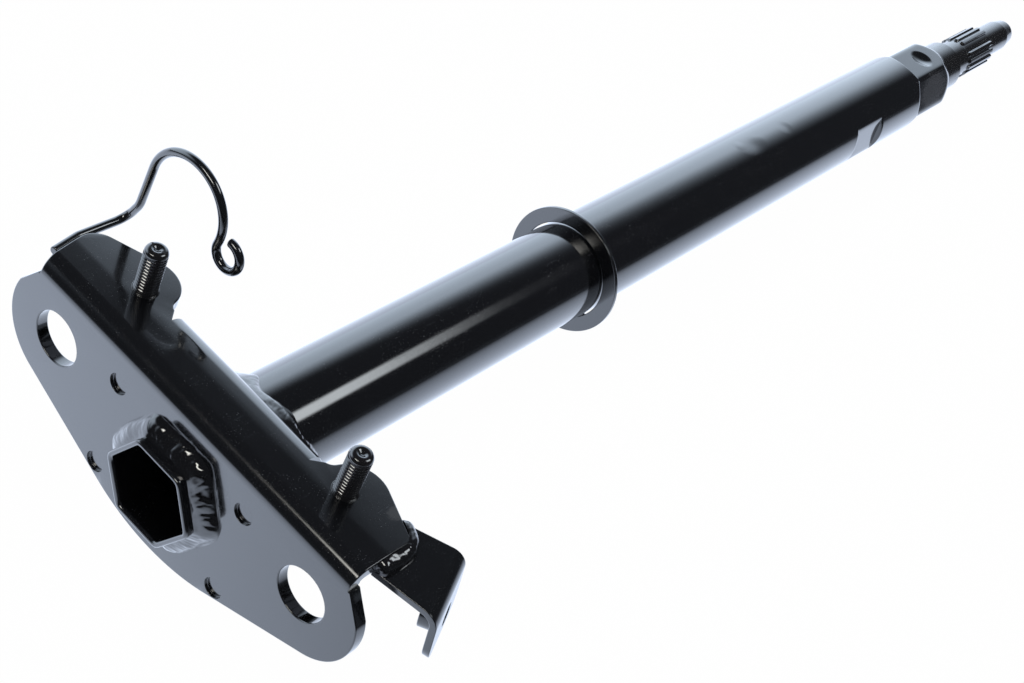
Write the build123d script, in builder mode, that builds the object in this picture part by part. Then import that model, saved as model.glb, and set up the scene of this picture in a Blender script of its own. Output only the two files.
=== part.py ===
import os
from math import cos, radians, sin, tan

from build123d import *

# Steering shaft: a tube with a stamped handlebar plate welded round its hexagonal mouth
# and a splined stub crimped into its other end. +X runs along the tube to the spline,
# +Z is the way the two studs point. The origin is on the tube's axis, at the plate's front.

# Tube, pressed to a hexagon at both ends
tube_od = 38.1
tube_wall = 2.0
hex_sides = 6
mouth_reach = 8.5
mouth_flats = 32.5
mouth_flats_behind_plate = 2.5
mouth_ramp = 8.0
tube_end = 518.0
crimp_flats = 33.4
crimp_start = 478.6
crimp_ramp = 2.5
lip_start = 507.0
lip_diameter = 29.4
punch_x = 497.5
punch_diameter = 12.5
punch_depth = 1.5
pinch_start = 412.0
pinch_end = 435.5
pinch_ramp = 1.0
pinch_depth = 2.1
pinch_angle = 172.0

# Splined stub
shank_start = 402.0
shoulder_end = 537.0
shoulder_chamfer = 1.2
neck_diameter = 19.6
spline_start = 552.5
spline_end = 581.5
spline_diameter = 21.6
spline_teeth = 17
tooth_depth = 1.1
groove_share = 0.42
groove_flare = 1.5
groove_side_angle = 65.0
missing_tooth_angle = 110.0
nose_diameter = 16.6
nose_cone_start = 605.0
tip_start = 614.5
tip_root_diameter = 13.8
tip_diameter = 9.6
stub_end = 618.5
spline_lead = 1.0

# Handlebar plate, one stamping of thick sheet
sheet = 4.5
front_half_length = 67.0
front_arc_radius = 70.0
front_bottom = -31.7
front_slope = 21.3
bar_hole_diameter = 19.1
bar_hole_y = 57.9
bar_hole_z = 10.6
lobe_radius = 22.3
shoulder_top_y = 71.9
shoulder_y = 78.7
shoulder_z = 18.8
hex_clearance = 0.3
dimple_diameter = 6.0
dimple_depth = 2.0
dimple_y = 29.3
dimple_z = (17.6, -20.5)
flange_top = 34.5
bend_radius = 6.5
flange_half_length = 71.0
flange_end_slope = 10.6
flange_tab_end_y = 71.0
flange_corner_x = 23.2
flange_corner_radius = 8.0
wing_slant = 65.5
wing_inner_y = 37.2
wing_lobe_radius = 11.6
wing_foot_x = 22.8
wing_foot_radius = 4.0
lip_bend_start = 18.8
lip_bend_radius = 8.0
lip_angle = 55.0
lip_bottom = 5.0
lip_half_width = 32.0
lip_corner_radius = 6.0
saddle_gap = 0.4

# Studs through the flange
stud_diameter = 8.0
stud_x = 20.5
stud_y = 46.4
stud_height = 17.5
stud_tip_chamfer = 1.2
stud_tip_dimple = 3.6
stud_tip_dimple_depth = 0.8
stud_collar_diameter = 9.0
stud_head_diameter = 15.0
stud_head_height = 4.0
stud_head_rounding = 1.0

# Stop ring
ring_x = 203.0
ring_diameter = 51.6
ring_thickness = 1.8
ring_gap = 0.6
tack_angles = (230, 290, 350)
tack_sweep = 32.0
tack_leg = 3.6

# Cable guide, a bent wire
wire_diameter = 3.1
wire_start_x = 6.5
wire_gap = 0.05
hook_x = 37.5
hook_lean_y = 72.2
hook_lean_z = 41.0
hook_corner_radius = 5.0
hook_lean_radius = 12.0
loop_y = 54.5
loop_z = 57.1
loop_radius = 16.4
loop_start_angle = 4.5
loop_end_angle = 191.0
eye_radius = 5.2
eye_turn = 290.0

# Side tab, its welded nut and the beads
tab_sheet = 2.5
tab_yaw = 24.0
tab_far_u = 2.9
tab_near_root_u = -19.1
tab_near_taper = 14.0
tab_root_w = 68.5
tab_bend_w = 92.2
tab_bend_radius = 6.0
tab_lean = 8.5
tab_bottom = 9.0
tab_corner_radius = 7.0
tab_hole_diameter = 7.6
tab_hole_u = -9.8
tab_hole_z = 16.0
nut_diameter = 12.6
nut_thickness = 4.8
nut_bore = 6.8
guide_weld_radius = 2.3
guide_weld_length = 12.0
guide_weld_overrun = 0.6
weld_leg = 6.0
weld_height = 5.0
weld_corner_radius = 9.0
weld_toe = 0.9
saddle_weld_leg = 4.0
saddle_weld_start_angle = 14.0
tab_weld_radius = 4.4
tab_weld_start_share = 0.66
tab_weld_end_x = 10.5

# How far a cutting shape runs on past what it cuts
cut_overrun = 1.0

# Sizes that follow from those above
tube_radius = tube_od / 2
bore_radius = tube_radius - tube_wall
stub_radius = lip_diameter / 2 - tube_wall
mouth_flat_end = sheet + mouth_flats_behind_plate
flange_under = flange_top - sheet
wire_radius = wire_diameter / 2
lip_corner_x = lip_bend_start + lip_bend_radius * tan(radians(lip_angle / 2))
lip_run = 1 / tan(radians(lip_angle))
plate_width = 2 * flange_half_length + lobe_radius


def flange_end_y(x):
    """How far along +Y the flange's slightly flared end lies at this x."""
    return flange_half_length + x * tan(radians(flange_end_slope))


flange_corner = (flange_corner_x, flange_end_y(flange_corner_x))


def radial_plane(angle):
    """Plane through the tube's axis: local x runs along it, local y points out at the angle."""
    return Plane(origin=(0, 0, 0), x_dir=(1, 0, 0), z_dir=(0, -sin(radians(angle)), cos(radians(angle))))


def pressed_flats(inset):
    """Angle and outline, as (x, distance from the axis), of each flat pressed across the tube."""
    radius = tube_radius - inset
    mouth = mouth_flats / 2 - inset
    crimp = crimp_flats / 2 - inset
    pinch = radius - pinch_depth
    end = mouth_flat_end + mouth_ramp
    foot = crimp_start - crimp_ramp
    flats = []
    for side in range(hex_sides):
        angle = 90 + side * 360 / hex_sides
        flats.append((angle, [(-tube_od, mouth), (mouth_flat_end, mouth), (end, radius)]))
        flats.append((angle, [(foot, radius), (crimp_start, crimp), (stub_end, crimp)]))
    pressed = [
        (pinch_start - pinch_ramp, radius),
        (pinch_start, pinch),
        (pinch_end, pinch),
        (pinch_end + pinch_ramp, radius),
    ]
    for angle in (pinch_angle, pinch_angle + 180):
        flats.append((angle, pressed))
    return flats


def formed_bar(inset, start, stop):
    """The tube's formed outline as a solid, with its whole skin this far below the tube's."""
    radius = tube_radius - inset
    ball = (punch_diameter**2 / 4 + punch_depth**2) / (2 * punch_depth)
    ball_height = crimp_flats / 2 - inset - punch_depth + ball
    with BuildPart() as bar:
        with BuildSketch(Plane.YZ.offset(start)):
            Circle(radius)
        extrude(amount=stop - start)
        for angle, outline in pressed_flats(inset):
            if outline[-1][0] > start and outline[0][0] < stop:
                with BuildSketch(radial_plane(angle)):
                    with BuildLine():
                        Polyline(*outline, (outline[-1][0], tube_od), (outline[0][0], tube_od), close=True)
                    make_face()
                extrude(amount=tube_od, both=True, mode=Mode.SUBTRACT)
        with BuildSketch(Plane.XZ):
            with BuildLine():
                mouth_radius = lip_diameter / 2 - inset
                Polyline(
                    (lip_start, radius),
                    (tube_end, mouth_radius),
                    (stub_end, mouth_radius),
                    (stub_end, tube_od),
                    (lip_start, tube_od),
                    close=True,
                )
            make_face()
        revolve(axis=Axis.X, mode=Mode.SUBTRACT)
        with Locations((punch_x, 0, ball_height), (punch_x, 0, -ball_height)):
            Sphere(ball, mode=Mode.SUBTRACT)
    return bar.part


# Post tube: the formed outline less the same outline one wall further in
with BuildPart() as post_tube:
    add(formed_bar(0, -mouth_reach, tube_end))
    add(formed_bar(tube_wall, -mouth_reach - cut_overrun, tube_end + cut_overrun), mode=Mode.SUBTRACT)


# Splined stub: a turned bar whose shank fills the tube's crimped end, with rolled splines
with BuildPart() as splined_stub:
    with BuildSketch(Plane.XZ):
        with BuildLine():
            Polyline(
                (tube_end, 0),
                (tube_end, stub_radius),
                (shoulder_end - shoulder_chamfer, stub_radius),
                (shoulder_end, stub_radius - shoulder_chamfer),
                (shoulder_end, neck_diameter / 2),
                (spline_start, neck_diameter / 2),
                (spline_start + spline_lead, spline_diameter / 2),
                (spline_end - spline_lead, spline_diameter / 2),
                (spline_end, nose_diameter / 2),
                (nose_cone_start, nose_diameter / 2),
                (tip_start, tip_root_diameter / 2),
                (stub_end, tip_diameter / 2),
                (stub_end, 0),
                close=True,
            )
        make_face()
    revolve(axis=Axis.X)
    with BuildSketch(Plane.YZ.offset(spline_start)):
        pitch = 360 / spline_teeth
        groove_width = radians(pitch) * spline_diameter / 2 * groove_share
        with PolarLocations(spline_diameter / 2, spline_teeth, start_angle=missing_tooth_angle + pitch / 2):
            Trapezoid(groove_width * groove_flare, 2 * tooth_depth, groove_side_angle, rotation=90)
        with PolarLocations(spline_diameter / 2, 1, start_angle=missing_tooth_angle):
            Rectangle(2 * tooth_depth, radians(pitch) * spline_diameter / 2)
    extrude(amount=spline_end - spline_start, mode=Mode.SUBTRACT)
    add(formed_bar(tube_wall, shank_start, tube_end))


def bend_section(plane, corners, radii, thickness):
    """Section of bent sheet, given the corners of its outer face; the sheet lies to their right."""
    with BuildSketch(plane) as section:
        with BuildLine():
            FilletPolyline(*corners, radius=radii)
            offset(amount=thickness, side=Side.RIGHT)
        make_face()
    return section.sketch


# Flange of the handlebar plate: the sheet's top edge bent back, its two wings cut to shape
web_top = flange_top - bend_radius
with BuildPart() as flange:
    flange_section = bend_section(
        Plane.XZ,
        [(0, web_top - sheet), (0, flange_top), (front_half_length, flange_top)],
        [bend_radius],
        sheet,
    )
    extrude(flange_section, amount=plate_width, both=True)
    with BuildSketch(Plane.XY):
        slant_run = (flange_corner[1] - wing_inner_y) / tan(radians(wing_slant))
        with BuildLine():
            Polyline(
                (-sheet, 0),
                (-sheet, flange_end_y(-sheet)),
                flange_corner,
                (flange_corner_x + slant_run, wing_inner_y),
                (lip_bend_start, wing_inner_y),
                (lip_bend_start, 0),
                close=True,
            )
        plan = make_face()
        fillet(plan.vertices().sort_by(Axis.Y)[-1], flange_corner_radius)
        fillet(vertices().sort_by(Axis.X)[-1], wing_lobe_radius)
        with Locations((wing_foot_x, lip_half_width)):
            Rectangle(wing_lobe_radius, wing_lobe_radius, align=(Align.MAX, Align.MIN))
        fillet(vertices().sort_by_distance((wing_foot_x, wing_inner_y))[0], wing_foot_radius)
        mirror(about=Plane.XZ)
        with Locations((0, -flange_tab_end_y)):
            Rectangle(plate_width, plate_width, align=(Align.CENTER, Align.MAX), mode=Mode.SUBTRACT)
    extrude(amount=2 * flange_top, mode=Mode.INTERSECT)


# Handlebar plate: front web, flange on top of it and a lip bent down to straddle the tube
with BuildPart() as handlebar_plate:
    slope = radians(front_slope)
    arc_y = front_arc_radius * sin(slope)
    arc_z = front_bottom + front_arc_radius * (1 - cos(slope))
    corner_z = arc_z + (front_half_length - arc_y) * tan(slope)
    with BuildSketch(Plane.YZ):
        with BuildLine():
            ThreePointArc((-arc_y, arc_z), (0, front_bottom), (arc_y, arc_z))
            Polyline(
                (arc_y, arc_z),
                (front_half_length, corner_z),
                (front_half_length, web_top),
                (-front_half_length, web_top),
                (-front_half_length, corner_z),
                (-arc_y, arc_z),
            )
        make_face()
        with Locations((-bar_hole_y, bar_hole_z), (bar_hole_y, bar_hole_z)):
            Circle(lobe_radius)
        for side in (-1, 1):
            with BuildLine():
                Polyline(
                    (side * shoulder_top_y, web_top),
                    (side * shoulder_y, shoulder_z),
                    (side * plate_width, shoulder_z),
                    (side * plate_width, web_top),
                    close=True,
                )
            make_face(mode=Mode.SUBTRACT)
        with Locations((0, web_top)):
            Rectangle(2 * plate_width, lobe_radius, align=(Align.CENTER, Align.MIN), mode=Mode.SUBTRACT)
        with Locations((-bar_hole_y, bar_hole_z), (bar_hole_y, bar_hole_z)):
            Circle(bar_hole_diameter / 2, mode=Mode.SUBTRACT)
    extrude(amount=sheet)

    add(flange.part)
    lip_foot = (lip_corner_x + (flange_top - lip_bottom) * lip_run, lip_bottom)
    lip_section = bend_section(
        Plane.XZ,
        [(0, web_top - sheet), (0, flange_top), (lip_corner_x, flange_top), lip_foot],
        [bend_radius, lip_bend_radius],
        sheet,
    )
    extrude(lip_section, amount=lip_half_width, both=True)
    lip_normal = Axis((0, 0, 0), (sin(radians(lip_angle)), 0, cos(radians(lip_angle))))
    fillet(edges().filter_by(lip_normal).sort_by(Axis.Z)[:2], lip_corner_radius)
    with BuildSketch(Plane.YZ.offset(bend_radius)):
        Circle(tube_radius + saddle_gap)
    extrude(amount=plate_width, mode=Mode.SUBTRACT)
    with BuildSketch(Plane.YZ):
        RegularPolygon(mouth_flats / 2 + hex_clearance, hex_sides, major_radius=False)
    extrude(amount=sheet, mode=Mode.SUBTRACT)
    with BuildSketch(Plane.XY.offset(flange_under)):
        with Locations((stud_x, -stud_y), (stud_x, stud_y)):
            Circle(stud_collar_diameter / 2)
    extrude(amount=sheet, mode=Mode.SUBTRACT)
    dimple_places = [(y, z) for y in (-dimple_y, dimple_y) for z in dimple_z]
    with BuildSketch(Plane.YZ.offset(sheet)):
        with Locations(*dimple_places):
            Circle(dimple_diameter / 2)
    extrude(amount=dimple_depth)
    with BuildSketch(Plane.YZ):
        with Locations(*dimple_places):
            Circle(dimple_diameter / 2)
    extrude(amount=dimple_depth, mode=Mode.SUBTRACT)


# Fillet weld round the hexagonal mouth, on the plate's front
with BuildPart() as hex_weld:
    for offset_x, leg in ((0, weld_leg), (-weld_height, weld_toe)):
        with BuildSketch(Plane.YZ.offset(offset_x)):
            bead = RegularPolygon(mouth_flats / 2 + leg, hex_sides, major_radius=False)
            fillet(bead.vertices(), weld_corner_radius)
    loft()
    with BuildSketch(Plane.YZ.offset(-mouth_reach)):
        RegularPolygon(mouth_flats / 2, hex_sides, major_radius=False)
    extrude(amount=mouth_reach, mode=Mode.SUBTRACT)


# Saddle weld: a bead where the lip's outer face meets the tube
with BuildPart() as saddle_weld:
    lip_face = Plane(
        origin=(lip_corner_x + flange_top * lip_run, 0, 0),
        x_dir=(0, 1, 0),
        z_dir=(sin(radians(lip_angle)), 0, cos(radians(lip_angle))),
    )
    with BuildLine(lip_face) as saddle_path:
        EllipticalCenterArc(
            (0, 0),
            tube_radius,
            tube_radius / sin(radians(lip_angle)),
            start_angle=saddle_weld_start_angle,
            arc_size=180 - 2 * saddle_weld_start_angle,
        )
    with BuildSketch(Plane(origin=saddle_path.line @ 0, z_dir=saddle_path.line % 0)):
        Circle(saddle_weld_leg)
    sweep(path=saddle_path.line)
    with BuildSketch(Plane.YZ):
        Circle(tube_radius)
    extrude(amount=plate_width, mode=Mode.SUBTRACT)
    add(handlebar_plate.part, mode=Mode.SUBTRACT)


# Clinch studs standing on the flange, their heads under it
def make_stud(y):
    """One stud at this y: a round head below the flange, a collar pressed into it and the shank."""
    with BuildPart() as stud:
        with BuildSketch(Plane.XY.offset(flange_under)):
            with Locations((stud_x, y)):
                Circle(stud_head_diameter / 2)
        extrude(amount=-stud_head_height)
        head_edges = stud.edges().filter_by(GeomType.CIRCLE).sort_by(Axis.Z)
        fillet(head_edges[0], stud_head_rounding)
        for bottom, top, diameter in (
            (flange_under, flange_top, stud_collar_diameter),
            (flange_top, flange_top + stud_height, stud_diameter),
        ):
            with BuildSketch(Plane.XY.offset(bottom)):
                with Locations((stud_x, y)):
                    Circle(diameter / 2)
            extrude(amount=top - bottom)
        chamfer(stud.edges().filter_by(GeomType.CIRCLE).sort_by(Axis.Z)[-1], stud_tip_chamfer)
        with Locations((stud_x, y, flange_top + stud_height)):
            Cone(0, stud_tip_dimple / 2, 2 * stud_tip_dimple_depth, mode=Mode.SUBTRACT)
    return stud.part


stud_left = make_stud(stud_y)
stud_right = make_stud(-stud_y)


# Stop ring: a flat washer round the tube, held by three tacks on its far face
with BuildPart() as stop_ring:
    with BuildSketch(Plane.YZ.offset(ring_x)):
        Circle(ring_diameter / 2)
        Circle(tube_radius + ring_gap, mode=Mode.SUBTRACT)
    extrude(amount=ring_thickness)

with BuildPart() as ring_weld:
    ring_back = ring_x + ring_thickness
    for angle in tack_angles:
        with BuildSketch(radial_plane(angle - tack_sweep / 2)):
            with BuildLine():
                Polyline(
                    (ring_back, tube_radius),
                    (ring_back, tube_radius + tack_leg),
                    (ring_back + tack_leg, tube_radius),
                    close=True,
                )
            make_face()
        revolve(axis=Axis.X, revolution_arc=tack_sweep)


# Cable guide: wire along the flange's end, bent up into an open loop with a small eye
with BuildPart() as cable_guide:
    seat = wire_radius + wire_gap
    corner_half_angle = radians(90 - (flange_end_slope + wing_slant) / 2)
    corner_aim = radians((wing_slant - flange_end_slope) / 2)
    corner_center_y = flange_corner[1] - flange_corner_radius / sin(corner_half_angle) * cos(corner_aim)
    wire_y = corner_center_y + flange_corner_radius + seat
    wire_z = flange_top - sheet / 2
    end_slope = radians(flange_end_slope)
    wire_start = Vector(wire_start_x, flange_end_y(wire_start_x) + seat / cos(end_slope), wire_z)
    wire_turn_x = (wire_y - flange_end_y(0) - seat / cos(end_slope)) / tan(end_slope)
    loop_start = (
        loop_y + loop_radius * cos(radians(loop_start_angle)),
        loop_z + loop_radius * sin(radians(loop_start_angle)),
    )
    reach = loop_radius + eye_radius
    eye_y = loop_y + reach * cos(radians(loop_end_angle))
    eye_z = loop_z + reach * sin(radians(loop_end_angle))
    with BuildLine() as wire_path:
        FilletPolyline(
            wire_start,
            (wire_turn_x, wire_y, wire_z),
            (hook_x, wire_y, wire_z),
            (hook_x, hook_lean_y, hook_lean_z),
            (hook_x, *loop_start),
            radius=[flange_corner_radius + seat, hook_corner_radius, hook_lean_radius],
        )
        with BuildLine(Plane.YZ.offset(hook_x)):
            CenterArc((loop_y, loop_z), loop_radius, loop_start_angle, loop_end_angle - loop_start_angle)
            CenterArc((eye_y, eye_z), eye_radius, loop_end_angle - 180, -eye_turn)
    with BuildSketch(Plane(origin=wire_path.line @ 0, z_dir=wire_path.line % 0)):
        Circle(wire_radius)
    sweep(path=wire_path.line)

# Guide weld: bead under the wire's first stretch, against the flange's end face
with BuildPart() as guide_weld:
    bead_start = wire_path.line @ 0 - (wire_path.line % 0) * guide_weld_overrun
    bead_start -= Vector(0, wire_radius / 2, wire_radius)
    with BuildSketch(Plane(origin=bead_start, z_dir=wire_path.line % 0)):
        Circle(guide_weld_radius)
    extrude(amount=guide_weld_length)
    add(cable_guide.part, mode=Mode.SUBTRACT)
    add(handlebar_plate.part, mode=Mode.SUBTRACT)


# Side tab: thin sheet lapped under the flange's right end and bent down past it
tab_out = Vector(sin(radians(tab_yaw)), -cos(radians(tab_yaw)), 0)
tab_along = Vector(cos(radians(tab_yaw)), sin(radians(tab_yaw)), 0)
tab_side = Plane(origin=tab_along * tab_far_u, x_dir=tab_out, z_dir=-tab_along)
tab_taper = tan(radians(tab_near_taper))
tab_foot_w = tab_bend_w + (flange_under - tab_bottom) * tan(radians(tab_lean))
tab_near_u = tab_near_root_u - (tab_foot_w - tab_root_w) * tab_taper
hole_w = tab_bend_w + (flange_under - tab_hole_z) * tan(radians(tab_lean))
leg_normal = tab_out * cos(radians(tab_lean)) + Vector(0, 0, sin(radians(tab_lean)))
hole_face = Plane(
    origin=tab_along * tab_hole_u + tab_out * hole_w + Vector(0, 0, tab_hole_z),
    x_dir=tab_along,
    z_dir=leg_normal,
)
with BuildPart() as side_tab:
    tab_section = bend_section(
        tab_side,
        [(tab_root_w, flange_under), (tab_bend_w, flange_under), (tab_foot_w, tab_bottom)],
        [tab_bend_radius],
        tab_sheet,
    )
    extrude(tab_section, amount=tab_far_u - tab_near_u)
    with BuildSketch(Plane(origin=(0, 0, 0), x_dir=tab_out, z_dir=(0, 0, 1))):
        with BuildLine():
            Polyline(
                (tab_root_w, tab_near_root_u),
                (tab_foot_w, tab_near_u),
                (tab_root_w, tab_near_u),
                close=True,
            )
        make_face()
    extrude(amount=flange_top, mode=Mode.SUBTRACT)
    foot_edges = side_tab.edges().sort_by(Axis.Z)[:4]
    fillet(foot_edges.sort_by(SortBy.LENGTH)[:2], tab_corner_radius)
    with BuildSketch(hole_face):
        Circle(tab_hole_diameter / 2)
    extrude(amount=-tab_sheet, mode=Mode.SUBTRACT)

with BuildPart() as tab_nut:
    with BuildSketch(hole_face.offset(-tab_sheet)):
        Circle(nut_diameter / 2)
        Circle(nut_bore / 2, mode=Mode.SUBTRACT)
    extrude(amount=-nut_thickness)


# Tab weld: bead along the flange's slanted edge and corner, on the tab's upper face
with BuildPart() as tab_weld:
    bead_start_y = wing_inner_y + (flange_corner[1] - wing_inner_y) * tab_weld_start_share
    bead_start_x = flange_corner_x + (flange_corner[1] - bead_start_y) / tan(radians(wing_slant))
    bead_corner_x = flange_corner_x + (flange_corner[1] - flange_tab_end_y) / tan(radians(wing_slant))
    with BuildLine(Plane.XY.offset(flange_under)) as tab_weld_path:
        FilletPolyline(
            (bead_start_x, -bead_start_y),
            (bead_corner_x, -flange_tab_end_y),
            (tab_weld_end_x, -flange_tab_end_y),
            radius=flange_corner_radius,
        )
    with BuildSketch(Plane(origin=tab_weld_path.line @ 0, z_dir=tab_weld_path.line % 0)):
        Circle(tab_weld_radius)
    sweep(path=tab_weld_path.line)
    split(bisect_by=Plane.XY.offset(flange_under), keep=Keep.TOP)
    add(handlebar_plate.part, mode=Mode.SUBTRACT)


pieces = {
    "post_tube": post_tube.part,
    "splined_stub": splined_stub.part,
    "handlebar_plate": handlebar_plate.part,
    "hex_weld": hex_weld.part,
    "saddle_weld": saddle_weld.part,
    "stud_left": stud_left,
    "stud_right": stud_right,
    "stop_ring": stop_ring.part,
    "ring_weld": ring_weld.part,
    "cable_guide": cable_guide.part,
    "guide_weld": guide_weld.part,
    "side_tab": side_tab.part,
    "tab_nut": tab_nut.part,
    "tab_weld": tab_weld.part,
}
os.makedirs("parts", exist_ok=True)
for name, piece in pieces.items():
    piece.label = name
    export_step(piece, f"parts/{name}.step")
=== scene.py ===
from math import cos, hypot, pi, radians, sin, tan

import bmesh
import bpy
import numpy as np
from mathutils import Matrix, Vector
from mathutils.geometry import delaunay_2d_cdt


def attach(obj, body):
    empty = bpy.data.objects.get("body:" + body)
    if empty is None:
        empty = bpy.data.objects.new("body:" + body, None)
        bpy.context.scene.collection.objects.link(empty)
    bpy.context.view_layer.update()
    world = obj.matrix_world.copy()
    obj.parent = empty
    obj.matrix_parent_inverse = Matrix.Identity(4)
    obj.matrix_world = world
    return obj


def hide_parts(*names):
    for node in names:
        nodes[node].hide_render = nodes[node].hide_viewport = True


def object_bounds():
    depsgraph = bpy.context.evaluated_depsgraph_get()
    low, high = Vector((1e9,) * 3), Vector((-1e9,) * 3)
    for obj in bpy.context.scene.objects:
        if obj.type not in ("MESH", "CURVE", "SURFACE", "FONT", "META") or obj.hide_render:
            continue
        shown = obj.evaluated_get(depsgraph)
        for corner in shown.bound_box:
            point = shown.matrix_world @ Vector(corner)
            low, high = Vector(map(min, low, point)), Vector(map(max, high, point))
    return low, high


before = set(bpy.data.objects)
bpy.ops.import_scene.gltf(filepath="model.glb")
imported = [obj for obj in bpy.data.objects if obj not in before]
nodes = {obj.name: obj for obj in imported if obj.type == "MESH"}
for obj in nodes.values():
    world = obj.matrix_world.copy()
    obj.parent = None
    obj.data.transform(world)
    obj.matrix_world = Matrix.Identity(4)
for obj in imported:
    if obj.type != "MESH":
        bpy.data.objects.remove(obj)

cad_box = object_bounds()
scene = bpy.context.scene
scene.view_settings.view_transform = "Standard"
MM = 0.001


# View
# The shaft is seen from in front of the plate and above its tab end, looking along the tube
# and down at it. The lens and place were found from the tube's edges and the plate's holes.
view_place = Vector((-281.02, -197.03, 406.34)) * MM
view_right = Vector((0.62112, -0.70005, 0.35234))
view_back = Vector((-0.69873, -0.29103, 0.65352))
view_focal_px = 1682.76
view_width_px = 1024
sensor_width = 36.0
lens = bpy.data.cameras.new("view")
lens.sensor_width = sensor_width
lens.lens = view_focal_px / view_width_px * sensor_width
lens.clip_start = 0.01
lens.clip_end = 20.0
camera = bpy.data.objects.new("view", lens)
turn = Matrix((view_right, view_back.cross(view_right), view_back)).transposed()
camera.matrix_world = Matrix.Translation(view_place) @ turn.to_4x4()
scene.collection.objects.link(camera)
scene.camera = camera


# Light
# A white paper sweep under and behind the shaft, and a dark studio above it. The paper shows
# white, and gloss shows it too; one narrow lamp draws the bright line along the tube.
class Wire:
    """One output in a node tree. Arithmetic on it adds Math nodes to the tree."""

    def __init__(self, tree, socket=None):
        self.tree = tree
        self.socket = socket

    def node(self, kind, settings=None, values=None, out=0):
        """Adds a node, its settings first and then its sockets' values or links. Gives one output."""
        made = self.tree.nodes.new(kind)
        for name, value in (settings or {}).items():
            setattr(made, name, value)
        for key, value in (values or {}).items():
            if isinstance(value, Wire):
                self.tree.links.new(value.socket, made.inputs[key])
            else:
                made.inputs[key].default_value = value
        return Wire(self.tree, made.outputs[out] if len(made.outputs) else None)

    def math(self, operation, *values):
        """Math node on these values. This wire only says which tree it goes in."""
        return self.node("ShaderNodeMath", {"operation": operation}, dict(enumerate(values)))

    def vector(self, operation, *values, out=0):
        """Vector Math node on these values. This wire only says which tree it goes in."""
        return self.node("ShaderNodeVectorMath", {"operation": operation}, dict(enumerate(values)), out)

    def __add__(self, other):
        return self.math("ADD", self, other)

    def __sub__(self, other):
        return self.math("SUBTRACT", self, other)

    def __rsub__(self, other):
        return self.math("SUBTRACT", other, self)

    def __mul__(self, other):
        return self.math("MULTIPLY", self, other)

    def __truediv__(self, other):
        return self.math("DIVIDE", self, other)

    def __rtruediv__(self, other):
        return self.math("DIVIDE", other, self)

    def __pow__(self, other):
        return self.math("POWER", self, other)

    def __lt__(self, other):
        return self.math("LESS_THAN", self, other)

    def __gt__(self, other):
        return self.math("GREATER_THAN", self, other)

    __radd__ = __add__

    def ramp(self, low, high, low_value=0.0, high_value=1.0):
        """Goes softly from low_value to high_value while this goes from low to high."""
        sockets = dict(enumerate((self, low, high, low_value, high_value)))
        return self.node("ShaderNodeMapRange", {"interpolation_type": "SMOOTHSTEP"}, sockets)

    def mix(self, first, second):
        """Colour that goes from first to second while this goes from 0 to 1."""
        return self.node("ShaderNodeMix", {"data_type": "RGBA"}, {0: self, 6: first, 7: second}, 2)

    def axes(self):
        """The three coordinates of a vector."""
        split = self.node("ShaderNodeSeparateXYZ", None, {0: self}).socket.node
        return [Wire(self.tree, output) for output in split.outputs]

    def rays(self, *kinds):
        """Wires that are 1 for one kind of ray each."""
        path = self.node("ShaderNodeLightPath").socket.node
        return [Wire(self.tree, path.outputs[f"Is {kind} Ray"]) for kind in kinds]


def empty_tree(owner):
    """Clears the nodes of a world or a material and gives a wire to build new ones from."""
    owner.use_nodes = True
    owner.node_tree.nodes.clear()
    return Wire(owner.node_tree)


white = (1.0, 1.0, 1.0, 1.0)
black = (0.0, 0.0, 0.0, 1.0)

# The backdrop fades in and out by heading round Z, from +X towards +Y, and ends at a height.
# The strip is a band over the tube, at a turn round X, and the spark is a small bright patch
# high in front. Each pair is where a fade starts and stops.
backdrop_tint = (1.30, 1.53, 1.82, 1.0)
backdrop_near = (radians(-8), radians(30))
backdrop_far = (radians(115), radians(150))
backdrop_top = (0.42, 0.725)
studio_dark = (0.030, 0.033, 0.040, 1.0)
strip_tint = (3.1, 3.3, 3.45, 1.0)
strip_turn = radians(121.2)
strip_edge = (0.10, 0.23)
strip_start = (0.2, 0.4)
strip_end = (0.61, 0.71)
spark_tint = (6.5, 6.4, 6.0, 1.0)
spark_toward = (-0.66, 0.02, 0.735)
spark_along = (0.24, 0.97, 0.0)
spark_reach = (0.18, 0.30)
spark_height = (0.045, 0.075)
fill_tint = (0.25, 0.25, 0.25, 1.0)
world = bpy.data.worlds.new("studio")
scene.world = world
w = empty_tree(world)
seen, mirrored, through = w.rays("Camera", "Glossy", "Transmission")
toward = w.node("ShaderNodeTexCoord", out="Generated")
east, north, up = toward.axes()
heading = north.math("ARCTAN2", north, east)
sweep = heading.ramp(*backdrop_near) * heading.ramp(*backdrop_far, 1.0, 0.0)
sweep = sweep * up.ramp(*backdrop_top, 1.0, 0.0)
aside = up.math("ABSOLUTE", up.math("ARCTAN2", up, north) - strip_turn)
strip = aside.ramp(*strip_edge, 1.0, 0.0) * east.ramp(*strip_end, 1.0, 0.0) * east.ramp(*strip_start)
offset = toward.vector("SUBTRACT", toward, spark_toward)
sideways = offset.vector("DOT_PRODUCT", offset, spark_along, out="Value")
upward = up.math("ABSOLUTE", up - spark_toward[2])
spark = sideways.math("ABSOLUTE", sideways).ramp(*spark_reach, 1.0, 0.0)
spark = spark * upward.ramp(*spark_height, 1.0, 0.0) * (east < 0.0)
room = spark.mix(strip.mix(sweep.mix(studio_dark, backdrop_tint), strip_tint), spark_tint)
plain = (mirrored + through).math("MINIMUM", mirrored + through, 1.0)
tone = seen.mix(plain.mix(fill_tint, room), white)
glow = w.node("ShaderNodeBackground", None, {"Color": tone, "Strength": 1.0})
w.node("ShaderNodeOutputWorld", None, {"Surface": glow})

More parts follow.
